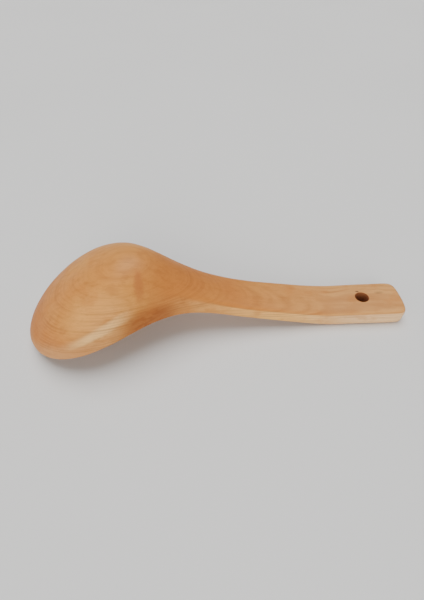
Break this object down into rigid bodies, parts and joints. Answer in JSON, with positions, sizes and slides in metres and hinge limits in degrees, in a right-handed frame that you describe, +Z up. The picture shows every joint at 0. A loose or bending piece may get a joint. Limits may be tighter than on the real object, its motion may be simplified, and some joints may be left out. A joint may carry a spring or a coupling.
{
  "type": "wooden serving spoon",
  "caption": "Carved wooden serving spoon with a deep egg-shaped bowl, a waisted neck and a flat handle with a drilled hanging hole, lying face down.",
  "frame": {"origin": "on the surface the spoon lies on, midway between the bowl's tip and the handle's end, on the centre line", "axes": "+X along the spoon from the bowl to the handle's end, +Z up out of the bowl's domed back, +Y across the spoon"},
  "size_m": [0.26, 0.0876, 0.0568],
  "materials": {
    "wood": "satin"
  },
  "bodies": {
    "root": {"spoon": "wood"}
  },
  "joints": []
}
